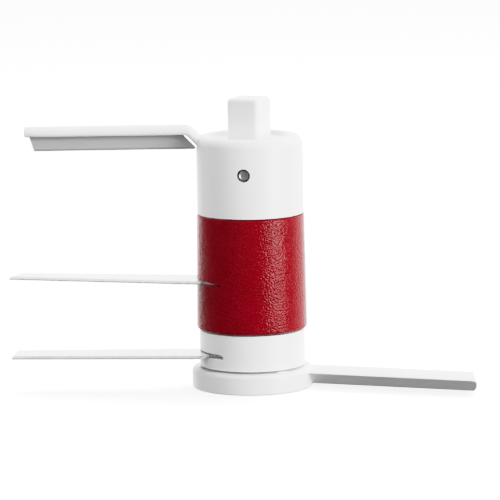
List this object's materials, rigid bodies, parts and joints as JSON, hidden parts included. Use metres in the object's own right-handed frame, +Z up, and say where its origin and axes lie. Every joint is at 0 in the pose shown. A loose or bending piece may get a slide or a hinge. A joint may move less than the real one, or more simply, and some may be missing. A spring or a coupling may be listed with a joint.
{
  "type": "swivel-arm cutting spindle",
  "caption": "Square-headed cutting spindle with a pinned white cap and upright top blade, a red sleeve and a white collar that swivel with flat blades, and a base ring with a long lever.",
  "frame": {"origin": "centre of the base plug's flat underside, on the spindle's axis, in the plane the object stands on", "axes": "+Z up along the spindle to the square drive head, +X towards the lever, -X towards the blades, -Y towards the side that shows the cross pin"},
  "size_m": [0.1418, 0.0433, 0.0886],
  "materials": {
    "white_plastic": "satin moulded",
    "red_plastic": "fine leather grain, satin gloss",
    "natural_plastic": "moulded, unpigmented",
    "blade_steel": "fine brushed, ground edge",
    "fastener_steel": "bright stainless",
    "spring_steel": "drawn wire",
    "nylon": "smooth"
  },
  "bodies": {
    "spindle": {"drive_spindle": "white_plastic", "upper_cap": "white_plastic", "cap_cross_pin": "fastener_steel", "top_arm": "white_plastic", "arm_lock_pin": "fastener_steel", "top_blade": "blade_steel", "top_blade_pin_1": "fastener_steel", "top_blade_pin_2": "fastener_steel", "spring_seat_washer": "fastener_steel", "stack_spring": "spring_steel", "spring_plate": "fastener_steel", "foot_flange": "white_plastic", "retaining_screw": "fastener_steel", "base_plug": "white_plastic"},
    "sleeve": {"red_sleeve": "red_plastic", "sleeve_hub_lower": "natural_plastic", "sleeve_hub_upper": "natural_plastic", "middle_blade": "blade_steel", "middle_blade_screw_1": "fastener_steel", "middle_blade_screw_2": "fastener_steel", "thrust_washer_upper": "nylon"},
    "collar": {"lower_collar": "white_plastic", "lower_blade": "blade_steel", "lower_blade_screw_1": "fastener_steel", "lower_blade_screw_2": "fastener_steel", "thrust_washer_middle": "nylon"},
    "lever": {"base_lever": "white_plastic", "thrust_washer_lower": "nylon"}
  },
  "joints": [
    {"name": "sleeve_swivel", "type": "hinge", "parent": "spindle", "child": "sleeve", "pos_m": [0, 0, 0.0332], "axis": [0, 0, 1], "continuous": true},
    {"name": "collar_swivel", "type": "hinge", "parent": "spindle", "child": "collar", "pos_m": [0, 0, 0.011], "axis": [0, 0, 1], "continuous": true},
    {"name": "lever_swivel", "type": "hinge", "parent": "spindle", "child": "lever", "pos_m": [0, 0, 0.003], "axis": [0, 0, 1], "continuous": true}
  ]
}
